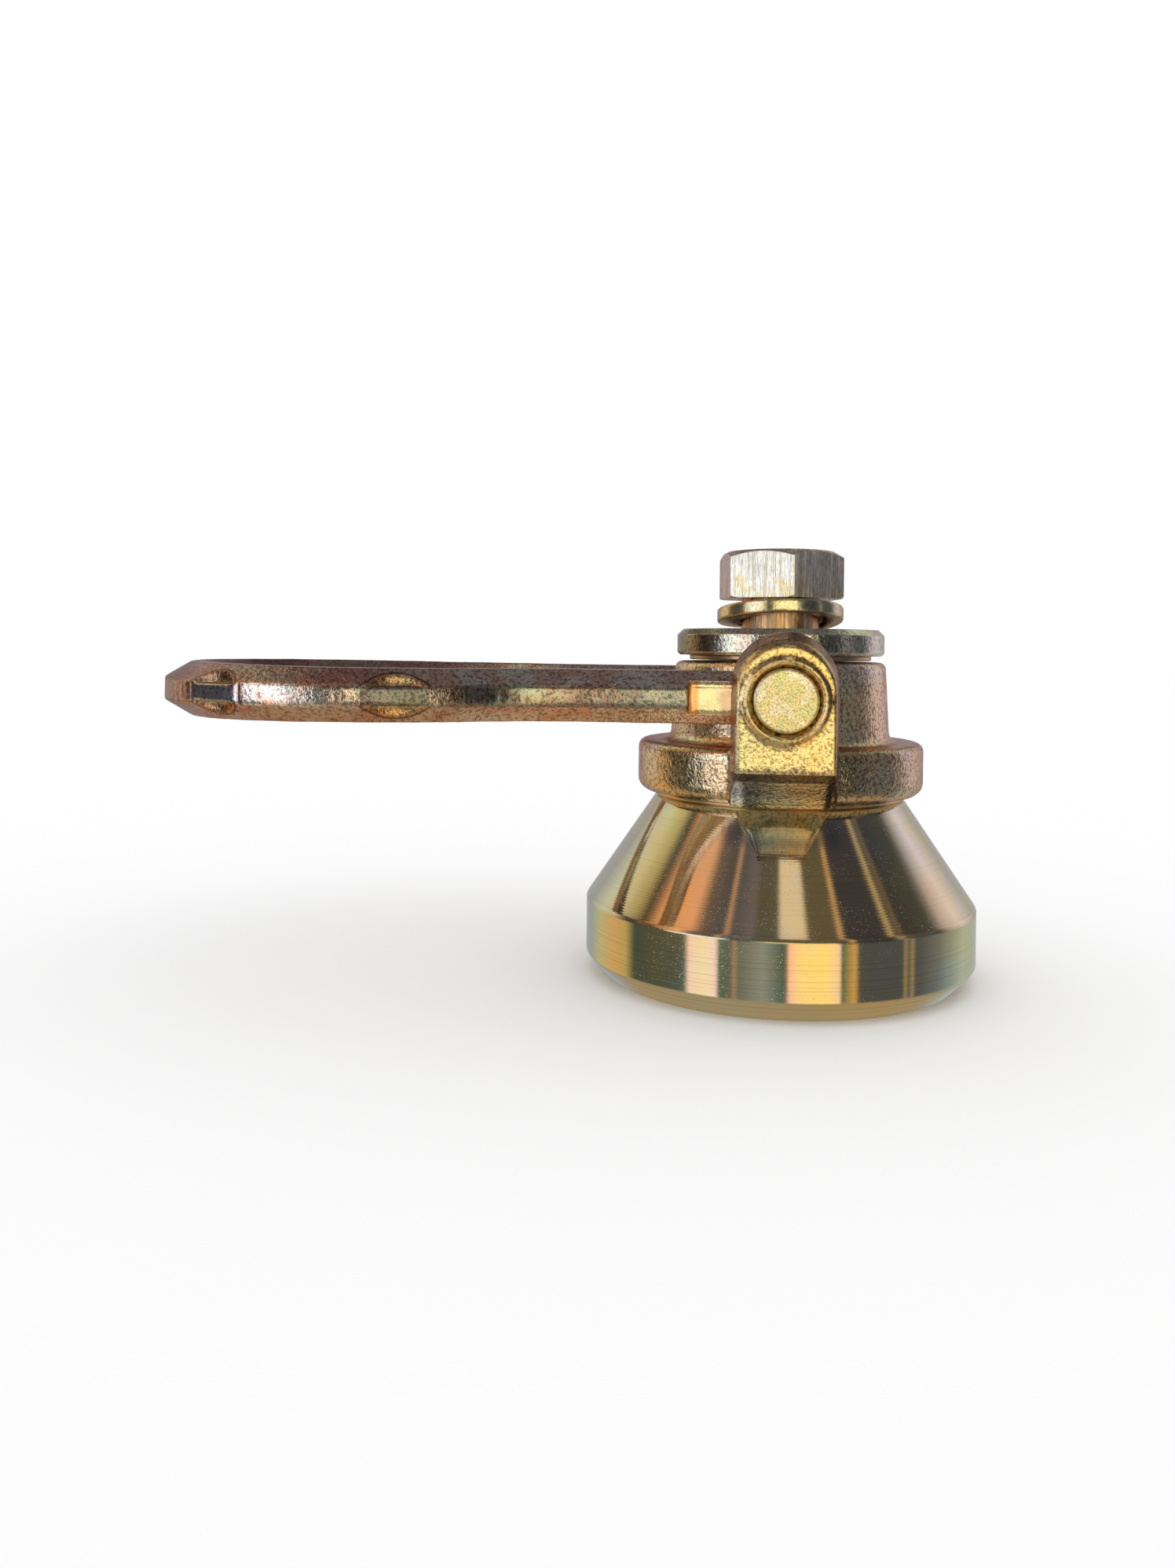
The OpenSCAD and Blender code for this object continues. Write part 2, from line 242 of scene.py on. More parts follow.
MIDDLE_PANELS = [
    (-180, (0.46, 0.44, 0.46)), (-152, (0.46, 0.44, 0.45)), (-136, (0.74, 0.72, 0.56)),
    (-120, (0.84, 0.60, 0.38)), (-110, (0.10, 0.085, 0.075)), (-76, (0.06, 0.055, 0.055)),
    (-72, (1.20, 1.20, 1.25)), (-61, (1.50, 1.50, 1.56)), (-38, (1.45, 1.42, 1.34)),
    (-35, (0.04, 0.045, 0.04)), (-24, (0.09, 0.08, 0.065)), (-18, (0.78, 0.86, 0.70)),
    (-13, (1.55, 1.35, 0.85)), (4, (1.70, 1.45, 0.85)), (24, (1.60, 1.35, 0.85)),
    (27, (0.06, 0.055, 0.055)), (64, (0.040, 0.038, 0.042)), (68, (0.50, 0.46, 0.40)),
    (72, (0.095, 0.090, 0.092)), (98, (0.095, 0.090, 0.098)), (107, (0.60, 0.50, 0.58)),
    (120, (0.88, 0.78, 0.92)), (140, (0.48, 0.48, 0.49)),
]
HIGH_PANELS = [
    (-180, (0.15, 0.11, 0.10)), (-152, (0.15, 0.11, 0.10)), (-142, (0.56, 0.60, 0.44)),
    (-128, (0.84, 0.76, 0.38)), (-112, (0.62, 0.46, 0.20)), (-104, (0.09, 0.07, 0.05)),
    (-100, (0.30, 0.16, 0.09)), (-94, (0.90, 0.42, 0.20)), (-72, (1.00, 0.46, 0.24)),
    (-64, (0.20, 0.12, 0.09)), (-49, (0.10, 0.085, 0.085)), (-46, (0.75, 0.36, 0.20)),
    (-43, (0.12, 0.10, 0.10)), (-20, (0.23, 0.17, 0.18)), (14, (0.09, 0.075, 0.08)),
    (35, (0.050, 0.048, 0.062)), (38.5, (0.80, 0.48, 0.24)), (42, (0.052, 0.048, 0.064)),
    (68, (0.052, 0.048, 0.064)), (71.5, (0.65, 0.48, 0.28)), (74, (0.052, 0.050, 0.062)),
    (77, (0.20, 0.14, 0.10)), (80, (0.052, 0.050, 0.060)), (104, (0.08, 0.08, 0.07)),
    (118, (0.42, 0.44, 0.28)), (134, (0.70, 0.76, 0.62)), (145, (0.56, 0.56, 0.52)),
    (156, (0.15, 0.11, 0.10)),
]
# The elevations in degrees over which one set of panels passes into the next
LOW_TO_MIDDLE = (-11.0, -6.0)
MIDDLE_TO_HIGH = (20.0, 34.0)

# Patches laid over the panels, in degrees. Middle: the direction. Across: the distances from it
# at which the patch starts and is full. Up and down: the elevations at which it starts and is
# full. HOOD is dim, STRIP is a light along its lower edge, and CEILING is a light overhead.
HOOD = {"middle": 5.0, "across": (34.0, 28.0), "up": (9.0, 16.0), "colour": (0.13, 0.11, 0.075)}
STRIP = {"middle": 5.0, "across": (22.0, 18.0), "up": (9.0, 12.0), "down": (20.0, 17.0),
         "colour": (1.25, 0.98, 0.52)}
CEILING = {"middle": 4.0, "across": (13.0, 8.0), "up": (44.0, 54.0), "down": (82.0, 70.0),
           "colour": (0.86, 0.71, 0.60)}

# The dim top of the room comes lower behind the object. The ground is what shows far below.
TOP_COLOUR, TOP_RISE = (0.140, 0.122, 0.118), (60.0, 74.0)
BEHIND, BEHIND_DROP = (95.0, 130.0), 20.0
GROUND_COLOUR, GROUND_FALL = (0.46, 0.35, 0.22), (-22.0, -40.0)
SURROUND = (1.03, 1.03, 1.03)


def make_studio():
    """A white surround, and panels that only glossy rays see, as stripes of light on the metal."""
    world = bpy.data.worlds.new("studio")
    bpy.context.scene.world = world
    world.use_nodes = True
    t = Tree(world.node_tree)
    background = world.node_tree.nodes["Background"]
    direction = t.nodes.new("ShaderNodeTexCoord").outputs["Generated"]
    x, y, z = t.xyz(direction)
    azimuth = t.product(t.math("ARCTAN2", x, t.product(y, -1.0)), 180 / math.pi)
    azimuth = t.math("ADD", azimuth, -VIEW_TURN)
    share = t.math("FRACT", t.math("ADD", t.math("DIVIDE", azimuth, 360.0), 0.5))
    elevation = t.product(t.math("ARCSINE", z), 180 / math.pi)
    low, middle, high = (
        t.ramp(share, [((a + 180) / 360, c) for a, c in panels + [(180, panels[0][1])]])
        for panels in (LOW_PANELS, MIDDLE_PANELS, HIGH_PANELS)
    )

    def area(patch):
        aside = t.math("ABSOLUTE", t.math("ADD", azimuth, -patch["middle"]))
        across = t.span(aside, *patch["across"])
        upright = t.span(elevation, *patch["up"])
        if "down" in patch:
            upright = t.product(upright, t.span(elevation, *patch["down"]))
        return t.product(across, upright)

    seen = t.mix(t.span(elevation, *LOW_TO_MIDDLE), low, middle)
    seen = t.mix(t.span(elevation, *MIDDLE_TO_HIGH), seen, high)
    seen = t.mix(area(HOOD), seen, HOOD["colour"])
    seen = t.mix(area(STRIP), seen, STRIP["colour"])
    ceiling = area(CEILING)
    behind = t.span(t.math("ABSOLUTE", azimuth), *BEHIND)
    lift = t.math("ADD", elevation, t.product(behind, BEHIND_DROP))
    seen = t.mix(t.span(lift, *TOP_RISE), seen, TOP_COLOUR)
    seen = t.mix(ceiling, seen, CEILING["colour"])
    seen = t.mix(t.span(elevation, *GROUND_FALL), seen, GROUND_COLOUR)
    paths = t.nodes.new("ShaderNodeLightPath")
    t.set(background.inputs["Color"], t.mix(paths.outputs["Is Glossy Ray"], SURROUND, seen))
    background.inputs["Strength"].default_value = 1.0


def make_floor():
    """A pale matt floor that takes a soft shadow and isn't mirrored in the metal."""
    mesh = bpy.data.meshes.new("floor")
    bm = bmesh.new()
    bmesh.ops.create_grid(bm, x_segments=1, y_segments=1, size=6)
    bm.to_mesh(mesh)
    bm.free()
    floor = bpy.data.objects.new("floor", mesh)
    bpy.context.scene.collection.objects.link(floor)
    floor.visible_glossy = False
    material = bpy.data.materials.new("floor")
    material.use_nodes = True
    shader = material.node_tree.nodes["Principled BSDF"]
    shader.inputs["Base Color"].default_value = (0.97, 0.97, 0.97, 1)
    shader.inputs["Roughness"].default_value = 1.0
    shader.inputs["Specular IOR Level"].default_value = 0.0
    floor.data.materials.append(material)


# ---------------------------------------------------------------- materials

def mark_centre(angle):
    """The x and |y| of the cutter that bit the mark at this angle, in degrees from the tip."""
    a = math.radians(angle)
    return BOW_X - MARK_OFF * math.cos(a), MARK_OFF * math.sin(a)


def plated(name, hues, patch=60.0, rough=(0.22, 0.34), speckle=None, turning=None,
           edge=0.35 * MM, streak=None, tint=(1.0, 0.97, 0.9), tints_and_painted_shade=(), calm=(), flats=None,
           scallops=(), flecks=0.0):
    """Zinc plating under a yellow chromate film.

    hues: the colours that soft patches run through. patch: how fine these are.
    rough: least and most roughness, between smudges.
    speckle: (grain size in mm, bump depth in mm, how much darker its pits are), a forged skin.
    Its pits are darker as the skin's dark grain and as painted shade.
    turning: (pitch in mm, depth in mm, "disc" or "shaft"), lathe lines.
    streak: scale along x, y and z of fine scratches.
    flecks: strength of pale specks, painted glints. edge: radius over which edges are rounded
    and given wear and a painted highlight.
    tint: colour of reflections at grazing angles.
    dull: (region, colour that multiplies, roughness added), tints and painted shade.
    calm: (region, share of bumps left).
    flats: (least |y|, most |y|, radius) in mm of the milled spots round the ring's pins, coloured
    orange at their outer edge, pale yellow within and brown further in.
    scallops: (x, y, radius, painted shade of the band inside) of the marks on the ring, in metres.
    Each mark also gets painted shade along its edge and a warmer painted shade inside it, on
    the ring's slopes.

    A region is a list of (measure, value where it starts, value where it is full), in mm. The
    measures are x, z, |y|, called y, and the radius round the bolt's axis.
    """
    material = bpy.data.materials.new(name)
    material.use_nodes = True
    t = Tree(material.node_tree)
    shader = t.nodes["Principled BSDF"]
    place = t.nodes.new("ShaderNodeTexCoord").outputs["Object"]
    x, y, z = t.xyz(place)
    radius = t.distance(x, y)

    wander = t.noise(place, patch, 2.0, 0.5, 0.4)
    fine = t.noise(t.shifted(place, (0.31, 0.07, 0.19)), patch * 7, 3.0, 0.6)
    blend = t.math("ADD", t.product(wander, 0.75), t.product(fine, 0.25))
    stops = len(hues) - 1
    colour = t.ramp(t.span(blend, 0.32, 0.68, smooth=False),
                    [(i / stops, c) for i, c in enumerate(hues)])

    measures = {"radius": radius, "x": x, "y": t.math("ABSOLUTE", y), "z": z}

    def inside(region):
        where = 1.0
        for measure, start, full in region:
            where = t.product(where, t.span(measures[measure], start * MM, full * MM))
        return where

    extra_rough = 0.0
    # Each entry tints a region, and the entries that darken a region paint shade on it
    for region, shade, extra in tints_and_painted_shade:
        where = inside(region)
        colour = t.mix(where, colour, t.tinted(colour, shade))
        extra_rough = t.math("ADD", extra_rough, t.product(where, extra))

    height = None
    rough_low, rough_high = rough
    smudge = t.noise(t.shifted(place, (0.11, 0.23, 0.05)), 140.0, 4.0, 0.65)
    roughness = t.span(smudge, 0.3, 0.7, rough_low, rough_high, smooth=False)
    roughness = t.math("ADD", roughness, extra_rough)

    if speckle:
        size, depth, dark = speckle
        grain = t.noise(place, 1000.0 / size, 2.0, 0.65)
        coarse = t.noise(t.shifted(place, (0.4, 0.2, 0.1)), 330.0 / size, 2.0, 0.5)
        skin = t.math("ADD", t.product(grain, 0.8), t.product(coarse, 0.5))
        relief = depth * MM
        for region, share in calm:
            relief = t.product(relief, t.span(inside(region), 0.0, 1.0, 1.0, share))
        height = t.product(skin, relief)
        # The pits are darker: the skin's dark grain, and painted shade in them
        pits = t.span(grain, 0.38, 0.52)
        shade = t.mix(pits, (1 - dark, 1 - dark, 1 - dark), (1.0, 1.0, 1.0))
        colour = t.tinted(colour, shade)

    if turning:
        pitch, depth, way = turning
        along = radius if way == "disc" else z
        wobble = t.noise(t.vector(along, 0.0, 0.0), 900.0, 3.0, 0.7)
        groove = t.math("SINE", t.product(along, 2000 * math.pi / pitch))
        lines = t.math("ADD", t.product(groove, 0.35), t.product(wobble, 1.6))
        lines = t.product(lines, depth * MM)
        height = lines if height is None else t.math("ADD", height, lines)
        tool = t.noise(t.vector(along, 0.0, t.product(radius, 0.2)), 2400.0, 3.0, 0.7)
        on_cone = t.span(z, *BAND_TO_CONE)
        light = t.mix(on_cone, (0.78, 0.78, 0.80), (0.93, 0.93, 0.93))
        colour = t.mix(t.span(tool, 0.50, 0.38), colour, t.tinted(colour, light))
        broken = t.noise(t.shifted(place, (0.5, 0.2, 0.9)), 34.0, 3.0, 0.6)
        rings = t.product(t.span(tool, 0.62, 0.68), t.span(broken, 0.46, 0.60))
        colour = t.mix(t.product(rings, 0.45), colour, (0.84, 0.83, 0.78))
        roughness = t.math("ADD", roughness, t.product(rings, 0.22))

    # Pale rough specks, painted glints
    if flecks:
        spots = t.noise(t.shifted(place, (0.7, 0.1, 0.6)), 3000.0, 2.0, 0.6)
        thick = t.noise(t.shifted(place, (0.3, 0.5, 0.2)), 120.0, 3.0, 0.6)
        spots = t.product(t.span(spots, 0.62, 0.69), t.span(thick, 0.36, 0.62))
        colour = t.mix(t.product(spots, flecks), colour, (0.86, 0.86, 0.80))
        roughness = t.math("ADD", roughness, t.product(spots, 0.45))

    if streak:
        scratch = t.noise(t.shifted(place, (0.2, 0.6, 0.3), streak), 1.0, 4.0, 0.75)
        marks = t.span(scratch, 0.50, 0.60)
        dents = t.span(scratch, 0.46, 0.38)
        colour = t.mix(t.product(marks, 0.55), colour, (0.92, 0.90, 0.78))
        colour = t.mix(t.product(dents, 0.30), colour, (0.40, 0.38, 0.30))
        roughness = t.math("ADD", roughness, t.product(marks, 0.34))
        lines = t.product(scratch, 0.16 * MM)
        height = lines if height is None else t.math("ADD", height, lines)

    # Painted shade along each mark's edge, a warmer painted shade inside it on the slopes, and
    # painted shade on the band inside it
    for mark_x, mark_y, mark_r, shade in scallops:
        off_x = t.math("SUBTRACT", x, mark_x)
        off_y = t.math("SUBTRACT", t.math("ABSOLUTE", y), mark_y)
        gap = t.math("SUBTRACT", t.distance(off_x, off_y), mark_r)
        slope = t.span(t.math("ABSOLUTE", t.math("SUBTRACT", z, PIVOT_Z)), 1.9 * MM, 2.3 * MM)
        wall = t.product(t.span(gap, 0.35 * MM, 0.25 * MM), slope)
        rim = t.product(t.span(gap, 1.1 * MM, 0.5 * MM), slope)
        rim = t.math("SUBTRACT", rim, wall, clamp=True)
        colour = t.mix(rim, colour, t.tinted(colour, (0.30, 0.26, 0.24)))
        colour = t.mix(wall, colour, t.tinted(colour, (0.78, 0.66, 0.46)))
        band = t.product(t.span(gap, 0.35 * MM, 0.25 * MM), t.math("SUBTRACT", 1.0, slope))
        colour = t.mix(band, colour, t.tinted(colour, (shade, shade, shade * 1.1)))

    if flats:
        low, high, reach = (v * MM for v in flats)
        off = t.math("ABSOLUTE", y)
        away = t.distance(x, t.math("SUBTRACT", z, PIVOT_Z))
        milled = t.product(t.span(off, low, low + 0.2 * MM), t.span(off, high, high - 0.2 * MM))
        milled = t.product(milled, t.span(away, reach, reach - 0.5 * MM))
        orange, yellow, brown = (0.86, 0.46, 0.20), (0.84, 0.82, 0.56), (0.70, 0.52, 0.42)
        flat_colour = t.mix(t.span(away, reach - 2.2 * MM, reach - 3.4 * MM), orange, yellow)
        flat_colour = t.mix(t.span(away, reach - 6.5 * MM, reach - 9.0 * MM), flat_colour, brown)
        colour = t.mix(t.product(milled, 0.85), colour, flat_colour)
        height = t.product(height, t.span(milled, 0.0, 1.0, 1.0, 0.35))

    # Edges paler in chipped patches, as wear and as a painted edge highlight, and a little rougher
    bevel = t.nodes.new("ShaderNodeBevel")
    bevel.samples = 4
    bevel.inputs["Radius"].default_value = edge
    round_normal = bevel.outputs[0]
    flat_normal = t.nodes.new("ShaderNodeNewGeometry").outputs["Normal"]
    dot = t.nodes.new("ShaderNodeVectorMath")
    dot.operation = "DOT_PRODUCT"
    t.set(dot.inputs[0], round_normal)
    t.set(dot.inputs[1], flat_normal)
    wear_and_edge_highlight = t.span(dot.outputs["Value"], 0.998, 0.93)
    chips = t.noise(t.shifted(place, (0.05, 0.4, 0.8)), 420.0, 4.0, 0.7)
    wear_and_edge_highlight = t.product(wear_and_edge_highlight, t.span(chips, 0.38, 0.58))
    colour = t.mix(t.product(wear_and_edge_highlight, 0.55), colour, (0.90, 0.84, 0.74))
    roughness = t.math("ADD", roughness, t.product(wear_and_edge_highlight, 0.08))

    if height is not None:
        bump = t.nodes.new("ShaderNodeBump")
        bump.inputs["Strength"].default_value = 1.0
        bump.inputs["Distance"].default_value = 1.0
        t.set(bump.inputs["Height"], height)
        t.set(bump.inputs["Normal"], round_normal)
        t.set(shader.inputs["Normal"], bump.outputs[0])
    else:
        t.set(shader.inputs["Normal"], round_normal)
    t.set(shader.inputs["Base Color"], colour)
    t.set(shader.inputs["Roughness"], roughness)
    shader.inputs["Metallic"].default_value = 1.0
    shader.inputs["Specular Tint"].default_value = (*tint, 1)
    return material


STRAW = (0.80, 0.68, 0.40)
GOLD = (0.82, 0.60, 0.28)
COPPER = (0.78, 0.46, 0.26)
ROSE = (0.76, 0.54, 0.46)
OLIVE = (0.66, 0.70, 0.42)
SAGE = (0.68, 0.72, 0.58)
KHAKI = (0.72, 0.68, 0.52)
SILVER = (0.86, 0.85, 0.80)
PEWTER = (0.76, 0.74, 0.71)
UMBER = (0.46, 0.34, 0.24)
MAUVE = (0.86, 0.66, 0.66)

# Regions of the ring: the upright band round its outside, the stretch of the bow that holds the
# marks nearer the tip, and a short stretch of each arm
RING_BAND = [("z", 69.8, 70.4), ("z", 75.2, 74.6)]
BOW_STRETCH = [("x", -149.0, -147.0), ("x", -123.0, -125.0)]
ARM_STRETCH = [("x", -68.0, -67.0), ("x", -54.0, -55.0)]

MATERIALS = {
    "conical_base": plated(
        "turned_zinc", [KHAKI, SAGE, KHAKI, STRAW, KHAKI], patch=26.0, rough=(0.05, 0.095),
        turning=(0.55, 0.0030, "shaft"), flecks=0.65, edge=0.5 * MM, tint=(0.94, 0.94, 0.96),
        tints_and_painted_shade=[
            # painted shade on the top of the cone below each lug
            ([("x", -15.0, -12.0), ("x", 15.0, 12.0), ("y", 30.0, 34.0), ("z", 36.5, 39.5)],
             (0.56, 0.64, 0.82), 0.05),
        ]),
    "thrust_washer": plated(
        "thrust_zinc", [GOLD, COPPER, STRAW], patch=80.0, rough=(0.22, 0.32),
        turning=(0.4, 0.004, "disc")),
    "flanged_bush": plated(
        "bush_bronze", [COPPER, UMBER, GOLD], patch=80.0, rough=(0.25, 0.38),
        turning=(0.4, 0.004, "disc")),
    "swivel_body": plated(
        "forged_zinc", [OLIVE, STRAW, GOLD, STRAW, ROSE], patch=42.0, rough=(0.09, 0.16),
        speckle=(0.85, 0.22, 0.55), edge=0.8 * MM, tint=MAUVE,
        # the lugs' outer faces
        calm=[([("y", 49.0, 50.5), ("z", 56.0, 56.8)], 0.35)],
        tints_and_painted_shade=[
            # the hub
            ([("radius", 32.5, 29.0)], (1.10, 1.20, 1.60), 0.08),
            # painted shade on the top of the flange, and a bluer tint on its side
            ([("radius", 29.0, 30.5), ("y", 43.0, 42.0), ("z", 59.6, 60.1), ("z", 64.0, 62.0)],
             (0.62, 0.52, 0.46), 0.0),
            ([("radius", 29.0, 31.0), ("y", 43.5, 42.5), ("z", 60.0, 59.6)],
             (0.98, 1.04, 1.36), 0.0),
            # painted shade on the lugs' feet, a painted shadow at the step under their faces, and
            # painted shade on their rounded heads
            ([("y", 37.0, 39.0), ("z", 56.6, 56.1), ("z", 48.4, 51.2)],
             (0.46, 0.50, 0.84), 0.05),
            ([("y", 46.0, 48.0), ("z", 56.5, 56.1), ("z", 53.8, 54.6)],
             (0.34, 0.32, 0.30), 0.10),
            ([("y", 42.9, 43.6), ("y", 50.2, 49.4), ("z", 79.0, 82.0)],
             (0.46, 0.50, 0.50), 0.0),
        ]),
    "load_ring": plated(
        "ring_zinc", [SAGE, SILVER, ROSE, PEWTER, SILVER, ROSE], patch=38.0, rough=(0.09, 0.16),
        speckle=(0.85, 0.28, 0.55), edge=0.8 * MM, tint=MAUVE, flats=(41.6, 42.9, 22.5),
        scallops=[(*mark_centre(angle), MARK_R, shade) for angle, shade in MARKS],
        calm=[(RING_BAND, 0.45), (BOW_STRETCH + RING_BAND, 0.2), (ARM_STRETCH + RING_BAND, 0.3)],
        tints_and_painted_shade=[
            # the lower slope, towards the bow and towards the eyes
            ([("z", 70.2, 69.2), ("x", -55.0, -85.0)], (0.88, 0.66, 0.56), 0.0),
            ([("z", 70.2, 69.2), ("x", -75.0, -50.0)], (1.12, 0.84, 0.66), 0.0),
            # painted shade on the upper slope of the bow, and at the tip
            ([("z", 74.8, 75.6), ("x", -70.0, -100.0)], (0.70, 0.58, 0.58), 0.03),
            ([("x", -138.0, -150.0)], (0.42, 0.42, 0.48), 0.04),
            # the band, tinted, and in the last entry painted shade all along the arms
            (BOW_STRETCH + RING_BAND, (0.94, 1.0, 1.12), 0.0),
            (ARM_STRETCH + RING_BAND, (1.0, 1.24, 1.28), -0.03),
            ([("x", -80.0, -77.0), ("z", 69.6, 70.2), ("z", 75.4, 74.8)],
             (0.54, 0.54, 0.52), 0.08),
        ]),
    "pivot_pin": plated(
        "pin_zinc", [STRAW, OLIVE, STRAW, SILVER, STRAW], patch=190.0, rough=(0.22, 0.32),
        speckle=(0.45, 0.06, 0.45), edge=0.7 * MM),
    "top_washer": plated(
        "washer_zinc", [SAGE, SILVER, SAGE, ROSE], patch=70.0, rough=(0.09, 0.17),
        speckle=(0.8, 0.12, 0.45), edge=0.5 * MM,
        # painted shade on the side towards the ring, short of its edge
        tints_and_painted_shade=[([("x", -15.0, -19.0), ("x", -28.5, -27.0)], (0.42, 0.35, 0.29), 0.0)]),
    "spring_washer": plated(
        "spring_washer_zinc", [OLIVE, STRAW, SAGE, ROSE], patch=90.0, rough=(0.14, 0.24),
        speckle=(0.6, 0.03, 0.30), edge=0.5 * MM, tint=MAUVE),
    "hex_bolt": plated(
        "bolt_zinc", [SILVER, PEWTER, SILVER, STRAW, SILVER], patch=80.0, rough=(0.12, 0.22),
        streak=(1000, 1000, 45), edge=0.4 * MM, tint=MAUVE,
        # the shank below the head
        tints_and_painted_shade=[([("z", 96.95, 96.8)], (0.80, 0.50, 0.28), 0.08)]),
    "friction_spring": plated(
        "spring_steel", [UMBER, STRAW, UMBER], patch=120.0, rough=(0.25, 0.4),
        turning=(0.3, 0.003, "shaft")),
}


def wear(obj, name):
    """Gives an object one of the finishes above."""
    obj.data.materials.clear()
    obj.data.materials.append(MATERIALS[name])


# ---------------------------------------------------------------- forged pieces

def forged(node, voxel, rounds, keep, waviness, shaped=None):
    """A copy of a CAD node with rounded edges and a slightly uneven skin, as forging leaves it.

    voxel: size of the remesh, in metres. rounds: how often the edges are smoothed.
    keep(point): 1 where the surface is machined and stays exact, 0 where it may move.
    waviness: scale of the uneven skin, in metres. The skin sinks by 0.75 of it on average.
    shaped(point): a last move of each point.
    """
    source = NODES[node]
    piece = bpy.data.objects.new(node + "_forged", source.data.copy())
    bpy.context.scene.collection.objects.link(piece)
    bpy.context.view_layer.objects.active = piece
    bm = bmesh.new()
    bm.from_mesh(piece.data)
    bmesh.ops.remove_doubles(bm, verts=bm.verts, dist=0.005 * MM)
    bm.to_mesh(piece.data)
    bm.free()
    remesh = piece.modifiers.new("remesh", "REMESH")
    remesh.mode = "VOXEL"
    remesh.voxel_size = voxel
    remesh.use_smooth_shade = True
    depsgraph = bpy.context.evaluated_depsgraph_get()
    mesh = bpy.data.meshes.new_from_object(piece.evaluated_get(depsgraph))
    piece.modifiers.clear()
    piece.data = mesh

    free = piece.vertex_groups.new(name="free")
    for v in mesh.vertices:
        free.add([v.index], 1.0 - keep(v.co), "REPLACE")
    smooth = piece.modifiers.new("smooth", "SMOOTH")
    smooth.factor = 0.5
    smooth.iterations = rounds
    smooth.vertex_group = "free"
    depsgraph = bpy.context.evaluated_depsgraph_get()
    mesh = bpy.data.meshes.new_from_object(piece.evaluated_get(depsgraph))
    piece.modifiers.clear()
    piece.vertex_groups.clear()
    piece.data = mesh

    moves = []
    for v in mesh.vertices:
        loose = 1.0 - keep(v.co)
        if loose > 0:
            dents = noise.noise(v.co * 160) * 0.6
            ripples = noise.noise(v.co * 520 + Vector((3, 7, 11))) * 0.4
            moves.append((v, v.normal * (dents + ripples - 0.75) * waviness * loose))
    for v, move in moves:
        v.co += move
    if shaped:
        for v in mesh.vertices:
            v.co = shaped(v.co)
    mesh.polygons.foreach_set("use_smooth", [True] * len(mesh.polygons))
    mesh.update()
    return piece


def near_pin(point, radius):
    """True within a cylinder round the pins' axis."""
    return math.hypot(point.x, point.z - PIVOT_Z) < radius


def ring_keep(point):
    """The eyes' bores are machined, and the scalloped marks have crisp edges."""
    if abs(point.y) > EYE_INNER_Y and near_pin(point, EYE_BORE_R):
        return 1.0
    return 0.9 if in_mark(point) else 0.0


def in_mark(point):
    """True on the scalloped marks that are pressed into the outside of the bow."""
    for angle, _ in MARKS:
        x, y = mark_centre(angle)
        if math.hypot(point.x - x, abs(point.y) - y) < MARK_KEEP_R:
            return True
    return False


def round_lug_edge(point):
    """Moves a point near a lug's outer edge on to a rounded edge. Other points stay."""
    sink = LUG_FACE_Y - abs(point.y)
    if sink > LUG_ROUND or point.z < LUG_FOOT_Z:
        return point
    above = max(point.z - LUG_ARCH_Z, 0)
    out = Vector((point.x, 0, above))
    rim = LUG_HALF_W + LUG_SLOPE * sink - out.length
    if rim > LUG_ROUND or rim < -LUG_STRAY:
        return point
    corner = Vector((LUG_ROUND - rim, LUG_ROUND - sink))
    if corner.length <= LUG_ROUND:
        return point
    corner *= LUG_ROUND / corner.length
    out *= (out.length + rim - LUG_ROUND + corner.x) / out.length
    y = LUG_FACE_Y - LUG_ROUND + corner.y
    return Vector((out.x, math.copysign(y, point.y), out.z + point.z - above))


def body_keep(point):
    """The swivel bore, the pin holes, the spot faces and the underside are machined."""
    if math.hypot(point.x, point.y) < SWIVEL_BORE_R:
        return 1.0
    if near_pin(point, LUG_BORE_R) or point.z < UNDERSIDE_Z:
        return 1.0
    if SPOT_FACE_Y[0] < abs(point.y) < SPOT_FACE_Y[1] and near_pin(point, SPOT_FACE_R):
        return 1.0
    return 0.0


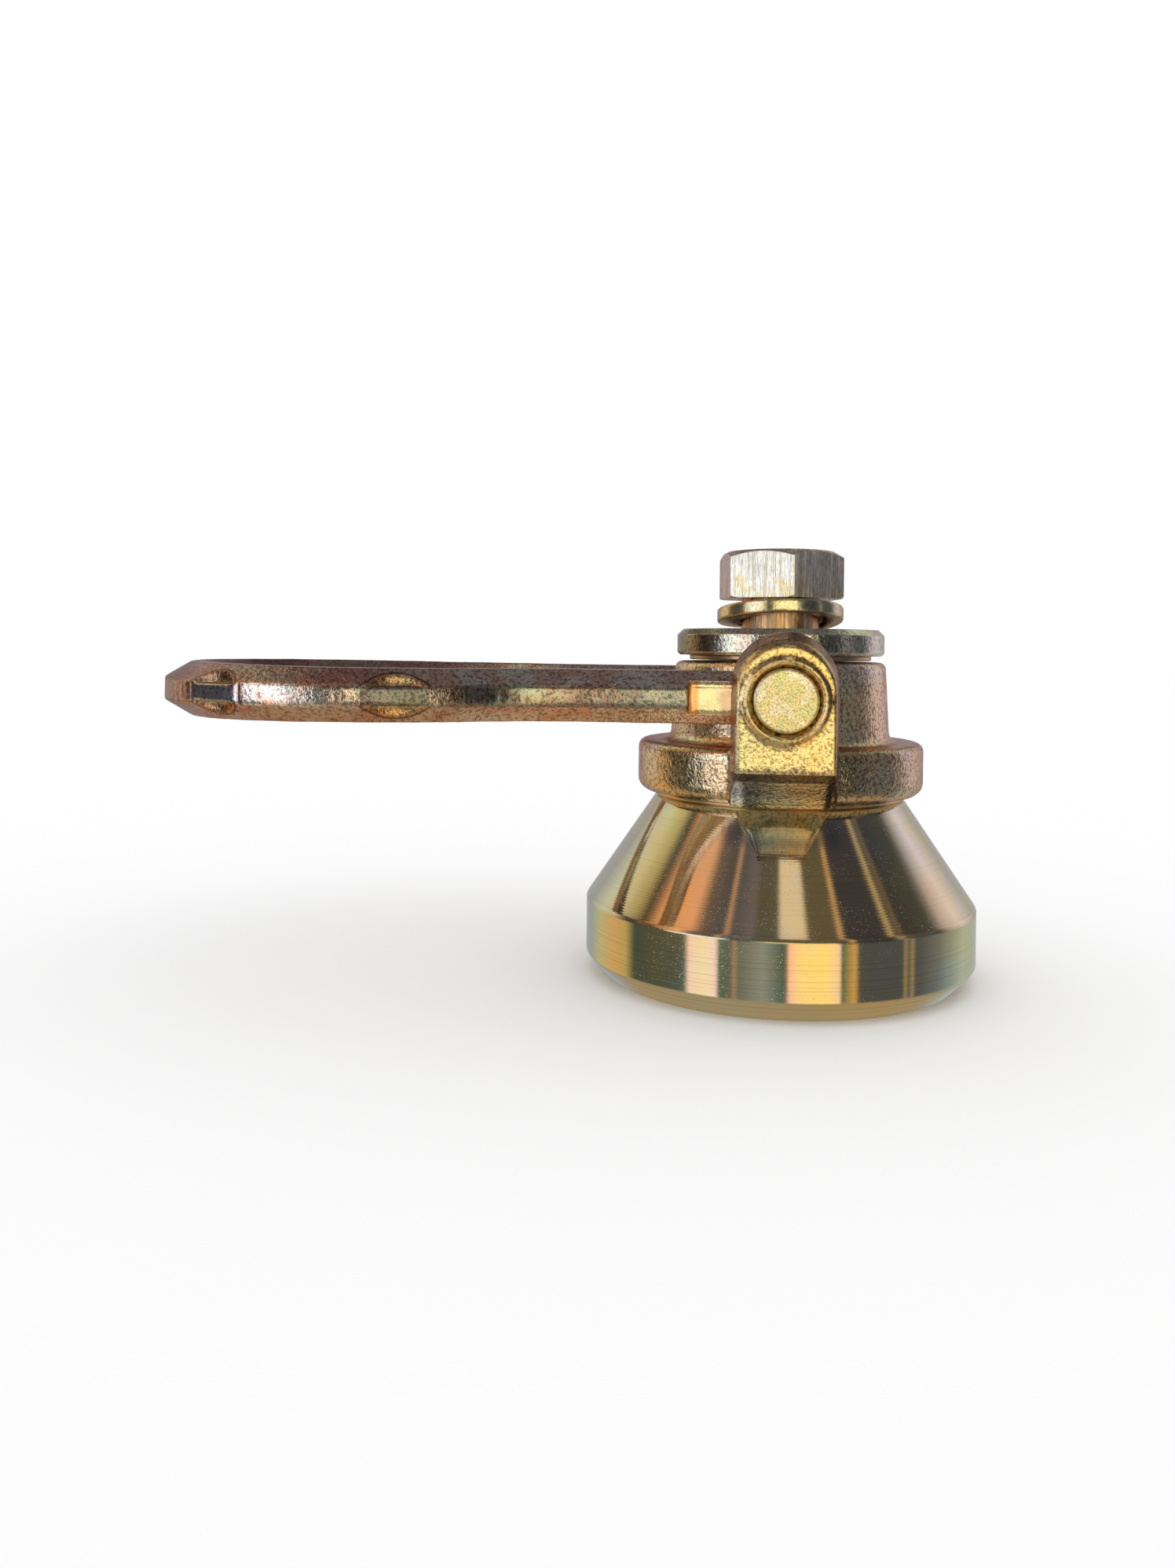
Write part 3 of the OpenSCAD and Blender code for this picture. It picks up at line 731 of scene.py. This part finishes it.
def stake_rim(name, side):
    """The raised rim that was staked round a pin's outer end, at the front (1) or the rear (-1)."""
    mesh = bpy.data.meshes.new(name)
    bm = bmesh.new()
    turns, corners = 72, 14
    rings = []
    for i in range(turns):
        a = math.tau * i / turns
        ring = []
        for j in range(corners):
            b = math.tau * j / corners
            uneven = 0.04 * MM * noise.noise(Vector((a * 2, b, 4)))
            r = STAKE_R + STAKE_SECTION_R * math.cos(b) + uneven
            out = LUG_FACE_Y - STAKE_SINK + STAKE_SECTION_R * math.sin(b)
            ring.append(bm.verts.new((r * math.cos(a), -side * out, PIVOT_Z + r * math.sin(a))))
        rings.append(ring)
    for i in range(turns):
        for j in range(corners):
            k, m = (i + 1) % turns, (j + 1) % corners
            quad = [rings[i][j], rings[i][m], rings[k][m], rings[k][j]]
            bm.faces.new(quad if side > 0 else quad[::-1])
    bmesh.ops.recalc_face_normals(bm, faces=bm.faces)
    for f in bm.faces:
        f.smooth = True
    bm.to_mesh(mesh)
    bm.free()
    rim = bpy.data.objects.new(name, mesh)
    bpy.context.scene.collection.objects.link(rim)
    wear(rim, "swivel_body")
    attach(rim, "swivel")


# ---------------------------------------------------------------- the scene

make_camera()
make_studio()
make_floor()

for name, node in NODES.items():
    wear(node, next(k for k in MATERIALS if name.startswith(k)))

ring = forged("load_ring", voxel=0.45 * MM, rounds=4, keep=ring_keep, waviness=0.10 * MM)
wear(ring, "load_ring")
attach(ring, "ring")
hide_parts("load_ring")

body = forged("swivel_body", voxel=0.45 * MM, rounds=4, keep=body_keep, waviness=0.07 * MM,
              shaped=round_lug_edge)
wear(body, "swivel_body")
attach(body, "swivel")
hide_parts("swivel_body")

split_washer = forged("spring_washer", voxel=0.3 * MM, rounds=5, keep=lambda point: 0.0,
                      waviness=0.02 * MM)
wear(split_washer, "spring_washer")
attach(split_washer, "base")
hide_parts("spring_washer")

stake_rim("stake_rim_front", 1)
stake_rim("stake_rim_rear", -1)

bpy.context.scene.view_settings.view_transform = "Standard"
